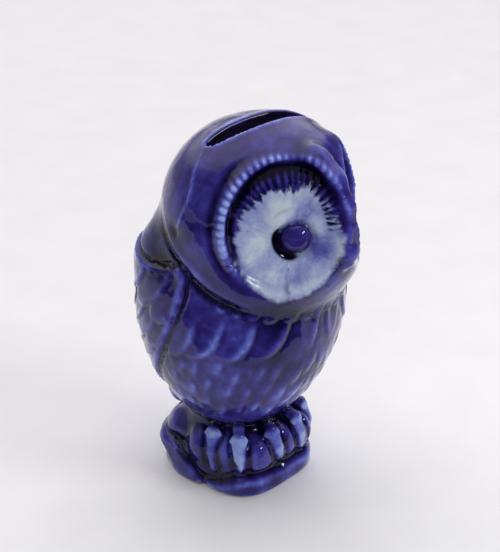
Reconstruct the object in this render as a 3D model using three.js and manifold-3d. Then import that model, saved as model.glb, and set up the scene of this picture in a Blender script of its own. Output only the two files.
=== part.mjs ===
// Owl coin bank: a hollow cast ceramic shell with a coin slot in the crown, and a soft stopper in its base.
// Millimetres, +Z up. The owl looks along -Y and its left is +X.

import * as THREE from 'three';
import { mergeVertices } from 'three/addons/utils/BufferGeometryUtils.js';
import Module from 'manifold-3d';

const wasm = await Module();
wasm.setup();

// Whole object
const HEIGHT = 130;
const WALL = 4;
const CLEARANCE = 0.3;
const OVERLAP = 2;

// Egg-shaped body, narrower towards the perch
const BODY_RADIUS = 35;
const BODY_HALF_HEIGHT = 48;
const BODY_MIDDLE_Z = 65;
const BODY_TAPER = 0.003;

// Round head, carried forward of the body
const HEAD_RADIUS = 32.5;
const HEAD_Y = -11.5;
const HEAD_Z = HEIGHT - HEAD_RADIUS;

// Facial discs: two shallow dishes turned outwards from the ridge between them
const DISC_YAW = THREE.MathUtils.degToRad(37);
const DISC_TILT = THREE.MathUtils.degToRad(10);
const DISC_CENTRE = [14, -31.5, 104];
const DISC_BOWL_RADIUS = 46;
const DISC_RADIUS = 19.5;
const RIM_WIDTH = 2.4;
const RIM_LIFT = 1.2;
const EYE_RADIUS = 6.2;
const EYE_DROP = 4;
const EYE_SINK = 3;

// Brow ridge between the discs, ending in the beak
const RIDGE_RADII = [3, 7, 14];
const RIDGE_CENTRE = [0, -38.5, 105];
const BEAK_RADII = [3.2, 4.4, 8];
const BEAK_CENTRE = [0, -42.5, 97];
const BEAK_LEAN = THREE.MathUtils.degToRad(8);

// Folded wings and tail
const WING_RADII = [7, 17, 30];
const WING_CENTRE = [26.6, 5, 58];
const WING_SWEEP = THREE.MathUtils.degToRad(12);
const WING_TUCK = THREE.MathUtils.degToRad(9);
const TAIL_RADII = [11, 4.5, 20];
const TAIL_CENTRE = [0, 25, 33];
const TAIL_LEAN = THREE.MathUtils.degToRad(4);

// Rocky perch: square in plan with well rounded corners
const ROCK_HALF_WIDTH = 21.5;
const ROCK_HALF_DEPTH = 24;
const ROCK_HALF_HEIGHT = 16.5;
const ROCK_SQUARENESS = 3;
const ROCK_Y = 2.5;
const ROCK_Z = 10;
const FOOT_INSET = 1.5;
const FOOT_HEIGHT = 5;
const NECK_RADIUS = 19;
const NECK_FROM_Z = 15;
const NECK_TO_Z = 33;

// Toes: three to a foot, fanned over the front of the perch; their reach is a share of the perch's own
const TOE_ANGLES = [17, 44, 69].map(THREE.MathUtils.degToRad);
const TOE_RADII = [3.6, 6, 4.2];
const TOE_REACH = 0.74;
const TOE_Z = 22;
const CLAW_RADII = [1.7, 2.2, 6];
const CLAW_REACH = 0.93;
const CLAW_Z = 16.5;
const CLAW_LEAN = THREE.MathUtils.degToRad(24);

// Coin slot, across the crown
const SLOT_LENGTH = 40;
const SLOT_WIDTH = 5;
const SLOT_Y = -9.6;
const SLOT_DEPTH = 26;

// Money chamber
const CHAMBER_FLOOR_Z = 12;
const CHAMBER_FOOT_RADIUS = 14.5;
const CHAMBER_FOOT_TOP_Z = 26;
const HEAD_CHAMBER_RADII = [25, 21, 28];
const HEAD_CHAMBER_CENTRE = [0, -5.5, 98];

// Filling hole and the recess around the stopper
const RECESS_RADIUS = 16;
const RECESS_DEPTH = CHAMBER_FLOOR_Z - WALL;
const HOLE_RADIUS = 13;

// Stopper: flange, hollow plug and a pull bar under the flange
const FLANGE_RADIUS = 15;
const FLANGE_THICKNESS = 2;
const PLUG_RADIUS = HOLE_RADIUS - CLEARANCE;
const PLUG_TAPER = 0.7;
const PLUG_HEIGHT = 9;
const PLUG_WALL = 2;
const BAR_LENGTH = 17;
const BAR_WIDTH = 3.4;
const BAR_DROP = 3;

// Facets
const ROUND_STEPS = 28;
const RING_STEPS = 16;
const SMALL_ROUND_STEPS = 10;
const SMALL_RING_STEPS = 6;

const SIDES = [-1, 1];

function solid(geometry) {
  geometry.deleteAttribute('normal');
  geometry.deleteAttribute('uv');
  const merged = mergeVertices(geometry);
  const mesh = new wasm.Mesh({
    numProp: 3,
    vertProperties: new Float32Array(merged.attributes.position.array),
    triVerts: new Uint32Array(merged.index.array),
  });
  return new wasm.Manifold(mesh);
}

function join(solids) {
  return solids.reduce((whole, piece) => whole.add(piece));
}

function meshOf(body, name, material) {
  const { vertProperties, triVerts } = body.getMesh();
  const geometry = new THREE.BufferGeometry();
  geometry.setAttribute('position', new THREE.BufferAttribute(vertProperties, 3));
  geometry.setIndex(new THREE.BufferAttribute(triVerts, 1));
  geometry.computeVertexNormals();
  const mesh = new THREE.Mesh(geometry, material);
  mesh.name = name;
  return mesh;
}

function ball(radii, centre, turn = new THREE.Euler(), round = ROUND_STEPS, rings = RING_STEPS) {
  const geometry = new THREE.SphereGeometry(1, round, rings);
  geometry.rotateX(Math.PI / 2);
  geometry.scale(...radii);
  geometry.applyQuaternion(new THREE.Quaternion().setFromEuler(turn));
  geometry.translate(...centre);
  return solid(geometry);
}

// A solid of revolution about the vertical through (0, y), from [radius, z] points
function turned(profile, y = 0, steps = ROUND_STEPS) {
  const points = profile.map(([radius, z]) => new THREE.Vector2(radius, z));
  const geometry = new THREE.LatheGeometry(points, steps);
  geometry.rotateX(Math.PI / 2);
  geometry.translate(0, y, 0);
  return solid(geometry);
}

function block(size, centre) {
  return solid(new THREE.BoxGeometry(...size).translate(...centre));
}

// Radius of the egg-shaped body at a height, less an inset
function bodyRadius(z, inset) {
  const rise = (z - BODY_MIDDLE_Z) / (BODY_HALF_HEIGHT - inset);
  const taper = 1 + BODY_TAPER * Math.max(BODY_MIDDLE_Z - z, 0);
  return ((BODY_RADIUS - inset) * Math.sqrt(Math.max(1 - rise * rise, 0))) / taper;
}

// The stretch of the egg's outline from one height up to its tip
function bodyOutline(fromZ, inset) {
  const topZ = BODY_MIDDLE_Z + BODY_HALF_HEIGHT - inset;
  const sink = Math.asin((BODY_MIDDLE_Z - fromZ) / (BODY_HALF_HEIGHT - inset));
  const outline = [];
  for (let step = 0; step < RING_STEPS; step += 1) {
    const angle = -sink + ((sink + Math.PI / 2) * step) / RING_STEPS;
    const z = BODY_MIDDLE_Z + (BODY_HALF_HEIGHT - inset) * Math.sin(angle);
    outline.push([bodyRadius(z, inset), z]);
  }
  outline.push([0, topZ]);
  return outline;
}

function torso() {
  const bottomZ = BODY_MIDDLE_Z - BODY_HALF_HEIGHT + OVERLAP;
  return turned([[0, bottomZ], ...bodyOutline(bottomZ, 0)]);
}

// Pushes a round geometry of unit radius out to the perch's rounded square plan
function squared(geometry, halfWidth, halfDepth) {
  const place = geometry.attributes.position;
  for (let index = 0; index < place.count; index += 1) {
    const x = place.getX(index);
    const y = place.getY(index);
    const reach = Math.hypot(x, y);
    const power = Math.abs(x) ** ROCK_SQUARENESS + Math.abs(y) ** ROCK_SQUARENESS;
    const stretch = reach > 0 ? reach / power ** (1 / ROCK_SQUARENESS) : 1;
    place.setX(index, x * stretch * halfWidth);
    place.setY(index, y * stretch * halfDepth);
  }
  return geometry;
}

// The foot's ring and the neck between perch and body
function foot() {
  const outline = [[0, 0], [1, 0], [1, FOOT_HEIGHT], [0, FOOT_HEIGHT]];
  const geometry = new THREE.LatheGeometry(outline.map((point) => new THREE.Vector2(...point)), ROUND_STEPS);
  geometry.rotateX(Math.PI / 2);
  squared(geometry, ROCK_HALF_WIDTH - FOOT_INSET, ROCK_HALF_DEPTH - FOOT_INSET);
  return solid(geometry.translate(0, ROCK_Y, 0));
}

function perch() {
  const boulder = new THREE.SphereGeometry(1, ROUND_STEPS, RING_STEPS);
  boulder.rotateX(Math.PI / 2);
  squared(boulder, ROCK_HALF_WIDTH, ROCK_HALF_DEPTH);
  const rock = solid(boulder.scale(1, 1, ROCK_HALF_HEIGHT).translate(0, ROCK_Y, ROCK_Z));
  const neck = turned([
    [0, NECK_FROM_Z],
    [NECK_RADIUS, NECK_FROM_Z],
    [NECK_RADIUS, NECK_TO_Z],
    [0, NECK_TO_Z],
  ], ROCK_Y);
  const below = block([HEIGHT, HEIGHT, HEIGHT], [0, 0, -HEIGHT / 2]);
  return join([rock, foot(), neck]).subtract(below);
}

function skull(lift) {
  const radius = HEAD_RADIUS + lift;
  return ball([radius, radius, radius], [0, HEAD_Y, HEAD_Z]);
}

// The direction that a facial disc looks in
function discNormal(side) {
  return new THREE.Vector3(
    side * Math.sin(DISC_YAW) * Math.cos(DISC_TILT),
    -Math.cos(DISC_YAW) * Math.cos(DISC_TILT),
    Math.sin(DISC_TILT),
  );
}

function discCentre(side) {
  const [x, y, z] = DISC_CENTRE;
  return new THREE.Vector3(side * x, y, z);
}

// Stands a solid's own +Z along the direction that a disc looks in, and moves it to the disc
function onDisc(geometry, side, lift) {
  const facing = new THREE.Quaternion().setFromUnitVectors(new THREE.Vector3(0, 0, 1), discNormal(side));
  const place = discCentre(side).addScaledVector(discNormal(side), lift);
  geometry.applyQuaternion(facing);
  geometry.translate(...place.toArray());
  return solid(geometry);
}

function discColumn(side, radius) {
  const column = new THREE.CylinderGeometry(radius, radius, HEIGHT / 2, ROUND_STEPS);
  return onDisc(column.rotateX(Math.PI / 2), side, 0);
}

function discDish(side) {
  const bowl = new THREE.SphereGeometry(DISC_BOWL_RADIUS, 2 * ROUND_STEPS, 2 * RING_STEPS);
  return onDisc(bowl, side, DISC_BOWL_RADIUS).intersect(discColumn(side, DISC_RADIUS));
}

// The raised rim round a disc: a ring of a slightly larger skull, on the front of the head
function discRim(side) {
  const ring = discColumn(side, DISC_RADIUS + RIM_WIDTH).subtract(discColumn(side, DISC_RADIUS));
  const front = block([HEIGHT, HEIGHT, HEIGHT], [0, HEAD_Y - HEIGHT / 2, HEAD_Z]);
  return skull(RIM_LIFT).intersect(ring).intersect(front);
}

function eye(side) {
  const centre = discCentre(side).addScaledVector(discNormal(side), -EYE_SINK);
  centre.z -= EYE_DROP;
  const radii = [EYE_RADIUS, EYE_RADIUS, EYE_RADIUS];
  return ball(radii, centre.toArray(), new THREE.Euler(), SMALL_ROUND_STEPS, SMALL_RING_STEPS);
}

function beak() {
  return ball(BEAK_RADII, BEAK_CENTRE, new THREE.Euler(BEAK_LEAN, 0, 0), SMALL_ROUND_STEPS, SMALL_RING_STEPS);
}

function headAndFace() {
  const ridge = ball(RIDGE_RADII, RIDGE_CENTRE);
  const rimmed = join([skull(0), ridge, ...SIDES.map(discRim)]);
  return join([rimmed.subtract(join(SIDES.map(discDish))), beak(), ...SIDES.map(eye)]);
}

function wing(side) {
  const [x, y, z] = WING_CENTRE;
  const turn = new THREE.Euler(WING_SWEEP, side * WING_TUCK, 0);
  return ball(WING_RADII, [side * x, y, z], turn, RING_STEPS, RING_STEPS / 2);
}

function tail() {
  return ball(TAIL_RADII, TAIL_CENTRE, new THREE.Euler(TAIL_LEAN, 0, 0), RING_STEPS, RING_STEPS / 2);
}

// How far the perch reaches from its middle in a direction, measured from the front
function rockReach(angle) {
  const across = Math.abs(Math.sin(angle) / ROCK_HALF_WIDTH) ** ROCK_SQUARENESS;
  const along = Math.abs(Math.cos(angle) / ROCK_HALF_DEPTH) ** ROCK_SQUARENESS;
  return (across + along) ** (-1 / ROCK_SQUARENESS);
}

// One toe and its claw, pointing out from the middle of the perch
function toe(angle) {
  const place = (share, z) => {
    const reach = share * rockReach(angle);
    return [reach * Math.sin(angle), ROCK_Y - reach * Math.cos(angle), z];
  };
  const knuckleTurn = new THREE.Euler(0, 0, angle);
  const clawTurn = new THREE.Euler(-CLAW_LEAN, 0, angle, 'ZYX');
  const knuckle = ball(TOE_RADII, place(TOE_REACH, TOE_Z), knuckleTurn, SMALL_ROUND_STEPS, SMALL_RING_STEPS);
  const claw = ball(CLAW_RADII, place(CLAW_REACH, CLAW_Z), clawTurn, SMALL_ROUND_STEPS, SMALL_RING_STEPS);
  return knuckle.add(claw);
}

function toes() {
  return SIDES.flatMap((side) => TOE_ANGLES.map((angle) => toe(side * angle)));
}

// The slot's outline is long and round-ended, and it goes straight down into the head
function coinSlot() {
  const half = SLOT_LENGTH / 2 - SLOT_WIDTH / 2;
  const shape = new THREE.Shape();
  shape.absarc(-half, 0, SLOT_WIDTH / 2, Math.PI / 2, (3 * Math.PI) / 2);
  shape.absarc(half, 0, SLOT_WIDTH / 2, -Math.PI / 2, Math.PI / 2);
  shape.closePath();
  const depth = SLOT_DEPTH + OVERLAP;
  const geometry = new THREE.ExtrudeGeometry(shape, { depth, bevelEnabled: false, curveSegments: SMALL_RING_STEPS });
  geometry.translate(0, SLOT_Y, HEIGHT - SLOT_DEPTH);
  return solid(geometry);
}

function moneyChamber() {
  const foot = turned([
    [0, CHAMBER_FLOOR_Z],
    [CHAMBER_FOOT_RADIUS, CHAMBER_FLOOR_Z],
    [CHAMBER_FOOT_RADIUS, CHAMBER_FOOT_TOP_Z + OVERLAP],
    [0, CHAMBER_FOOT_TOP_Z + OVERLAP],
  ], ROCK_Y, RING_STEPS);
  const trunk = turned([[0, CHAMBER_FOOT_TOP_Z], ...bodyOutline(CHAMBER_FOOT_TOP_Z, WALL)], 0, RING_STEPS);
  const head = ball(HEAD_CHAMBER_RADII, HEAD_CHAMBER_CENTRE, new THREE.Euler(), RING_STEPS, RING_STEPS / 2);
  return join([foot, trunk, head]);
}

function fillingHole() {
  return turned([
    [0, -OVERLAP],
    [RECESS_RADIUS, -OVERLAP],
    [RECESS_RADIUS, RECESS_DEPTH],
    [HOLE_RADIUS, RECESS_DEPTH],
    [HOLE_RADIUS, CHAMBER_FLOOR_Z + OVERLAP],
    [0, CHAMBER_FLOOR_Z + OVERLAP],
  ], ROCK_Y);
}

function ceramicShell() {
  const outside = join([torso(), headAndFace(), perch(), tail(), ...SIDES.map(wing), ...toes()]);
  const hollows = join([moneyChamber(), coinSlot(), fillingHole()]);
  const glaze = new THREE.MeshStandardMaterial({ color: 0x37336b, roughness: 0.15, metalness: 0 });
  return meshOf(outside.subtract(hollows), 'ceramic_shell', glaze);
}

function baseStopper() {
  const flangeTop = RECESS_DEPTH - CLEARANCE;
  const flangeBottom = flangeTop - FLANGE_THICKNESS;
  const plugTop = flangeTop + PLUG_HEIGHT;
  const plug = turned([
    [0, flangeBottom],
    [FLANGE_RADIUS, flangeBottom],
    [FLANGE_RADIUS, flangeTop],
    [PLUG_RADIUS, flangeTop],
    [PLUG_RADIUS - PLUG_TAPER, plugTop],
    [PLUG_RADIUS - PLUG_TAPER - PLUG_WALL, plugTop],
    [PLUG_RADIUS - PLUG_WALL, flangeTop],
    [0, flangeTop],
  ], ROCK_Y);
  const barHeight = BAR_DROP + FLANGE_THICKNESS / 2;
  const bar = block([BAR_LENGTH, BAR_WIDTH, barHeight], [0, ROCK_Y, flangeBottom - BAR_DROP + barHeight / 2]);
  const rubber = new THREE.MeshStandardMaterial({ color: 0x2b2a29, roughness: 0.7, metalness: 0 });
  return meshOf(plug.add(bar), 'base_stopper', rubber);
}

const owlBank = new THREE.Group();
owlBank.add(ceramicShell(), baseStopper());

// The origin is on the ground under the middle of the whole object
const size = new THREE.Box3().setFromObject(owlBank);
owlBank.position.y = -(size.min.y + size.max.y) / 2;

export default owlBank;
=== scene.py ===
"""Owl coin bank: the looks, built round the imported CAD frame.

The sculpting is done in millimetres in the owl's own frame: its body's axis stands at the origin,
it looks along -Y, and +Z is up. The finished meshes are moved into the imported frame, in metres.
"""

import math
from functools import reduce

import bpy
import numpy as np
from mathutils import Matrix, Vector


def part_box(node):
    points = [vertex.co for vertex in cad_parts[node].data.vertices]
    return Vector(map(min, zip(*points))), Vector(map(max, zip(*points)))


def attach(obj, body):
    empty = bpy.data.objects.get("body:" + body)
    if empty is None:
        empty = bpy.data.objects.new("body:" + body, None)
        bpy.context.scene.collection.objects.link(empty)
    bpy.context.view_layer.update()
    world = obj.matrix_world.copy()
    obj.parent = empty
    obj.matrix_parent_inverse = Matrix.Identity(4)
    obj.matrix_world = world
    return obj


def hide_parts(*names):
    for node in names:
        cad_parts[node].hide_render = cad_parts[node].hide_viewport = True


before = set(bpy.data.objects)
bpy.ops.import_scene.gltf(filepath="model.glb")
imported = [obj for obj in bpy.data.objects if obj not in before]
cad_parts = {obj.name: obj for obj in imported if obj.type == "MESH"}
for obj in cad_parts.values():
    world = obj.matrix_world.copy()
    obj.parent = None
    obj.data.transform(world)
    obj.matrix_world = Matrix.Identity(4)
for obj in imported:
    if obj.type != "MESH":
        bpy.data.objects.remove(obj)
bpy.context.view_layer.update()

MM = 0.001

# ---------------- measures of the owl, mm

WALL = 4.2
BACK_REACH = 35.0
BODY_CENTRE = (0.0, 0.0, 65.0)
BODY_RADII = (34.4, 34.6, 48.0)
BODY_TAPER = 0.0022
BODY_TAPER_FROM_Z = 62.0
BODY_TAPER_SOFTNESS = 4.0
BODY_LEAN = 0.05
HEAD_CENTRE = (0.0, -11.3, 97.4)
HEAD_RADII = (33.2, 33.0, 32.8)
BODY_HEAD_BLEND = 6.0
CROWN_CENTRE = (0.0, -6.0, 99.0)
CROWN_RADII = (29.0, 29.5, 30.3)
CROWN_BLEND = 1.5
BROW_CENTRE = (8.5, -8.0, 103.5)
BROW_RADIUS = 25.0
BROW_BLEND = 3.0
HEAD_SKEW = math.radians(5.0)
HEAD_SKEW_Y = -43.0

SHOULDER_CENTRE = (21.5, 7.0, 82.0)
SHOULDER_RADII = (10.5, 15.5, 16.0)
SHOULDER_BLEND = 5.0
TAIL_CENTRE = (0.0, 25.5, 34.0)
TAIL_RADII = (11.0, 5.0, 21.0)
TAIL_BLEND = 2.5

ROCK_CENTRE = (0.0, 2.0, 6.0)
ROCK_HALF = (20.9, 23.2, 19.0)
ROCK_SQUARENESS = 3.4
ROCK_ROUNDNESS = 2.6
NECK_RADIUS = 17.5
NECK_MIDDLE_Z = 24.0
NECK_HALF_HEIGHT = 9.0
ROCK_NECK_BLEND = 3.0
ROCK_LUMP_BLEND = 2.0
ROCK_TOE_BLEND = 0.5
OWL_PERCH_BLEND = 1.0

DISC_YAW = math.radians(42.0)
DISC_TILT = math.radians(3.0)
DISC_CENTRE = (13.3, -31.55, 104.8)
DISC_CURVE = 0.0075
DISC_EDGE = 18.6
RIM_RADIUS = 21.0
RIM_SQUEEZE = 1.6
BEAD_PITCH = 2.35
PALE_CENTRE = (0.0, -5.2)
PALE_RADIUS = 16.9
PALE_STRETCH = 1.07
EYE_PLACE = (-2.4, -3.9)
EYE_RADIUS = 5.3
EYE_SINK = 2.0
EYE_BLEND = 0.3

SLOT_HALF_LENGTH = 20.0
SLOT_HALF_WIDTH = 3.3
SLOT_FLARE = 0.012
SLOT_Y = -9.4
SLOT_SKEW = -0.16
SLOT_BOW = 0.003
SLOT_FLOOR_Z = 104.0

CHAMBER_FLOOR_Z = 12.0
CHAMBER_BLEND = 4.0
CHAMBER_FLOOR_ROUNDING = 3.0
RECESS_RADIUS = 16.0
RECESS_DEPTH = 8.0
HOLE_RADIUS = 13.0
HOLE_Y = 2.69
HOLE_MIDDLE_Z = 10.0
HOLE_HALF_HEIGHT = 5.0
FOOT_ROUNDING = 1.2
OPENING_ROUNDING = 1.6


# ---------------- signed distances over arrays of points


def blend_min(a, b, k):
    h = np.maximum(k - np.abs(a - b), 0.0) / k
    return np.minimum(a, b) - h * h * k * 0.25


def blend_max(a, b, k):
    return -blend_min(-a, -b, k)


def merged(forms, k):
    return reduce(lambda whole, form: blend_min(whole, form, k), forms)


def smooth(low, high, value):
    t = np.clip((value - low) / (high - low), 0.0, 1.0)
    return t * t * (3.0 - 2.0 * t)


def bell(value, width):
    t = value / width
    return np.exp(-t * t)


def towards(azimuth, elevation):
    """The direction at a bearing from the owl's front and a height above level."""
    level = math.cos(elevation)
    return math.sin(azimuth) * level, -math.cos(azimuth) * level, math.sin(elevation)


def ellipsoid(p, centre, radii):
    q = p - np.array(centre, np.float32)
    r = np.array(radii, np.float32)
    k0 = np.sqrt(((q / r) ** 2).sum(-1))
    k1 = np.sqrt(((q / (r * r)) ** 2).sum(-1))
    return k0 * (k0 - 1.0) / np.maximum(k1, 1e-9)


def tapered_rod(p, start, end, start_radius, end_radius):
    a = np.array(start, np.float32)
    ab = np.array(end, np.float32) - a
    t = np.clip(((p - a) @ ab) / float(ab @ ab), 0.0, 1.0)
    away = p - (a + t[..., None] * ab)
    return np.sqrt((away ** 2).sum(-1)) - (start_radius + (end_radius - start_radius) * t)


def mirrored(p):
    """Both halves of the owl laid on one; the right half of the head is turned a little further."""
    x = np.abs(p[..., 0])
    turned = HEAD_SKEW * smooth(0.0, 8.0, p[..., 0]) * smooth(72.0, 92.0, p[..., 2])
    y = p[..., 1] - HEAD_SKEW_Y
    across = np.cos(turned) * x + np.sin(turned) * y
    along = np.cos(turned) * y - np.sin(turned) * x
    return np.stack([across, along + HEAD_SKEW_Y, p[..., 2]], -1)


WAVES = 7


def ripple(p, pitch, seed):
    """A soft, uneven swell between about -1 and 1, for a surface shaped by hand."""
    random = np.random.default_rng(seed)
    total = 0.0
    for _ in range(WAVES):
        direction = random.normal(size=3)
        direction *= 2.0 * math.pi / (pitch * random.uniform(0.7, 1.5) * np.linalg.norm(direction))
        total = total + np.sin(p @ direction.astype(np.float32) + random.uniform(0.0, 2.0 * math.pi))
    return total / math.sqrt(WAVES)


# ---------------- the main forms


def body_form(p):
    below = BODY_TAPER_FROM_Z - p[..., 2]
    low = 0.5 * (below + np.sqrt(below * below + BODY_TAPER_SOFTNESS ** 2))
    k = 1.0 + BODY_TAPER * low
    q = np.stack([p[..., 0] * k, (p[..., 1] - BODY_LEAN * low) * k, p[..., 2]], -1)
    return ellipsoid(q, BODY_CENTRE, BODY_RADII) / k


def rock_form(p):
    across = np.abs(p[..., 0] - ROCK_CENTRE[0]) / ROCK_HALF[0]
    along = np.abs(p[..., 1] - ROCK_CENTRE[1]) / ROCK_HALF[1]
    plan = (across ** ROCK_SQUARENESS + along ** ROCK_SQUARENESS) ** (1.0 / ROCK_SQUARENESS)
    rise = np.abs(p[..., 2] - ROCK_CENTRE[2]) / ROCK_HALF[2]
    reach = (plan ** ROCK_ROUNDNESS + rise ** ROCK_ROUNDNESS) ** (1.0 / ROCK_ROUNDNESS)
    return (reach - 1.0) * 0.5 * (ROCK_HALF[2] + ROCK_HALF[0])


def from_hole(p):
    return np.sqrt(p[..., 0] ** 2 + (p[..., 1] - HOLE_Y) ** 2)


def neck_form(p):
    return blend_max(from_hole(p) - NECK_RADIUS, np.abs(p[..., 2] - NECK_MIDDLE_Z) - NECK_HALF_HEIGHT, 2.0)


RIDGE = (
    # place in the mirror plane, radius
    ((-30.6, 121.5), 4.9),
    ((-36.9, 116.6), 4.6),
    ((-41.4, 109.5), 4.0),
    ((-42.9, 102.3), 3.6),
    ((-44.7, 96.2), 2.9),
    ((-44.2, 92.6), 2.1),
)
RIDGE_BLEND = 3.4
RIDGE_JOINT_BLEND = 2.0


def ridge_form(q):
    """The bridge of the face, from the forehead down to the beak's tip."""
    rods = []
    for (start, start_radius), (end, end_radius) in zip(RIDGE, RIDGE[1:]):
        rods.append(tapered_rod(q, (0.0, *start), (0.0, *end), start_radius, end_radius))
    return merged(rods, RIDGE_JOINT_BLEND)


def plain_form(p):
    """The owl on its perch with its hollowed face, before eyes, feathers and claws."""
    q = mirrored(p)
    crown = ellipsoid(p, CROWN_CENTRE, CROWN_RADII)
    head = blend_min(ellipsoid(p, HEAD_CENTRE, HEAD_RADII), crown, CROWN_BLEND)
    head = blend_min(head, ellipsoid(q, BROW_CENTRE, (BROW_RADIUS,) * 3), BROW_BLEND)
    body = blend_min(body_form(p), ellipsoid(q, SHOULDER_CENTRE, SHOULDER_RADII), SHOULDER_BLEND)
    trunk = blend_min(body, head, BODY_HEAD_BLEND)
    trunk = blend_min(face_dish(trunk, q), ridge_form(q), RIDGE_BLEND)
    trunk = blend_min(trunk, ellipsoid(p, TAIL_CENTRE, TAIL_RADII), TAIL_BLEND)
    perch = blend_min(rock_form(p), neck_form(p), ROCK_NECK_BLEND)
    return trunk, perch


# ---------------- the face


def disc_axes():
    normal = np.array(towards(DISC_YAW, DISC_TILT))
    outward = np.cross([0.0, 0.0, 1.0], normal)
    outward /= np.linalg.norm(outward)
    upward = np.cross(normal, outward)
    return [axis.astype(np.float32) for axis in (normal, outward, upward)]


DISC_NORMAL, DISC_OUTWARD, DISC_UPWARD = disc_axes()


def disc_place(q):
    """Where a mirrored point is on its facial disc: outwards, upwards, and off the disc."""
    a = q - np.array(DISC_CENTRE, np.float32)
    return a @ DISC_OUTWARD, a @ DISC_UPWARD, a @ DISC_NORMAL


def disc_point(outward, upward, off):
    place = np.array(DISC_CENTRE) + outward * DISC_OUTWARD + upward * DISC_UPWARD + off * DISC_NORMAL
    return tuple(float(v) for v in place)


def disc_polar(outward, upward):
    """Turn from outwards, upwards positive, in degrees, and a reach that grows faster towards the beak."""
    angle = np.arctan2(upward, outward)
    turn = np.degrees(np.where(angle < -math.pi / 2.0, angle + 2.0 * math.pi, angle))
    return turn, np.sqrt(outward ** 2 + upward ** 2) + RIM_SQUEEZE * smooth(100.0, 165.0, turn)


def face_dish(form, q):
    outward, upward, off = disc_place(q)
    _, reach = disc_polar(outward, upward)
    bowl = off - DISC_CURVE * reach * reach
    cut = blend_max(-bowl, reach - DISC_EDGE, 1.5)
    return blend_max(form, -cut, 1.3 + 6.0 * smooth(2.0, -12.0, upward))


def eye_form(q):
    return ellipsoid(q, disc_point(*EYE_PLACE, -EYE_SINK), (EYE_RADIUS,) * 3)


def eye_polar(q):
    outward, upward, off = disc_place(q)
    x = outward - EYE_PLACE[0]
    y = upward - EYE_PLACE[1]
    return np.sqrt(x * x + y * y), np.arctan2(y, x), off


def around_angle(angle, middle, width):
    """1 at one bearing on the disc, falling to 0 at a width in degrees to either side."""
    turn = angle - math.radians(middle)
    apart = np.abs(np.degrees(np.arctan2(np.sin(turn), np.cos(turn))))
    return smooth(width, 0.35 * width, apart)


LID_BEARING = 68.0
LID_CENTRE = (8.7, 0.0, -0.6)
LID_RADII = (3.6, 7.0, 2.3)
LID_BLEND = 2.6
LID_RING_REACH = EYE_RADIUS + 1.8
LID_RING_OFF = -0.6
LID_RING_RADIUS = 0.8


def lid_form(q):
    """A heavy upper lid lying over the ball, and a thin ring round the rest of it."""
    reach, angle, off = eye_polar(q)
    ring = np.sqrt((reach - LID_RING_REACH) ** 2 + (off - LID_RING_OFF) ** 2) - LID_RING_RADIUS
    x = reach * np.cos(angle - math.radians(LID_BEARING))
    y = reach * np.sin(angle - math.radians(LID_BEARING))
    lid = ellipsoid(np.stack([x, y, off], -1), LID_CENTRE, LID_RADII)
    return blend_min(ring, lid, LID_BLEND)


# ---------------- feet and rock


def rock_reach(angle):
    across = abs(math.sin(angle) / ROCK_HALF[0]) ** ROCK_SQUARENESS
    along = abs(math.cos(angle) / ROCK_HALF[1]) ** ROCK_SQUARENESS
    return (across + along) ** (-1.0 / ROCK_SQUARENESS)


def on_rock(degrees, share, z):
    angle = math.radians(degrees)
    reach = share * rock_reach(angle)
    return (reach * math.sin(angle), ROCK_CENTRE[1] - reach * math.cos(angle), z)


TOE_ROOT = (0.60, 26.0)
KNUCKLE = (0.88, 21.0)
BEND_SHARE = 0.975
BEND_FROM_Z = 20.0
TOE_RADIUS = 2.2
KNUCKLE_RADII = (3.2, 3.2, 1.15)
CLAW_ROOT_RADIUS = 2.8
CLAW_RADIUS = 1.9
CLAW_POINT_RADIUS = 0.25
CLAW_GROOVE_REACH = 2.9
CLAW_GROOVE_WIDTH = 1.1


def claw_parts(bearing, point_bearing, point_z):
    root = on_rock(bearing, *TOE_ROOT)
    knuckle = on_rock(bearing, *KNUCKLE)
    bend = on_rock(0.5 * (bearing + point_bearing), BEND_SHARE, 0.5 * (BEND_FROM_Z + point_z))
    return root, knuckle, bend, on_rock(point_bearing, 1.0, point_z)


CLAWS = (
    # bearing of the knuckle, bearing of the point, height of the point
    (-72.0, -70.0, 9.5),
    (-46.0, -44.5, 10.8),
    (-14.0, -7.0, 11.2),
    (20.0, 19.0, 10.5),
    (46.0, 45.0, 10.5),
    (70.0, 70.0, 10.0),
)


CLAW_FLATNESS = 1.7


def flattened(p, about):
    """Stretches space away from the rock's axis, so that round rods drawn in it come out flat."""
    outward = np.array([about[0], about[1] - ROCK_CENTRE[1], 0.0])
    outward = (outward / np.linalg.norm(outward)).astype(np.float32)
    along = ((p - np.array(about, np.float32)) @ outward)[..., None]
    return p + (CLAW_FLATNESS - 1.0) * along * outward


def toe_form(p, claw):
    """A toe that runs down to a flat knuckle, and the claw that hangs from it."""
    root, knuckle, bend, point = claw_parts(*claw)
    flat = flattened(p, knuckle)
    places = (knuckle, bend, point)
    knuckle, bend, point = (tuple(flattened(np.array(place), knuckle)) for place in places)
    toe = tapered_rod(p, root, knuckle, TOE_RADIUS, CLAW_RADIUS)
    toe = blend_min(toe, ellipsoid(flat, knuckle, KNUCKLE_RADII), 0.6)
    upper = tapered_rod(flat, knuckle, bend, CLAW_ROOT_RADIUS, CLAW_RADIUS)
    lower = tapered_rod(flat, bend, point, CLAW_RADIUS, CLAW_POINT_RADIUS)
    return blend_min(toe, blend_min(upper, lower, 0.8), 0.4)


def toes_form(p):
    return reduce(np.minimum, (toe_form(p, claw) for claw in CLAWS))


def claw_grooves(p):
    """1 close beside the claws, where the modelling tool cut in between them and the toes."""
    lines = []
    for claw in CLAWS:
        _, knuckle, bend, point = claw_parts(*claw)
        lines.append(tapered_rod(p, knuckle, bend, 0.0, 0.0))
        lines.append(tapered_rod(p, bend, point, 0.0, 0.0))
    return bell(reduce(np.minimum, lines) - CLAW_GROOVE_REACH, CLAW_GROOVE_WIDTH)


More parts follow.
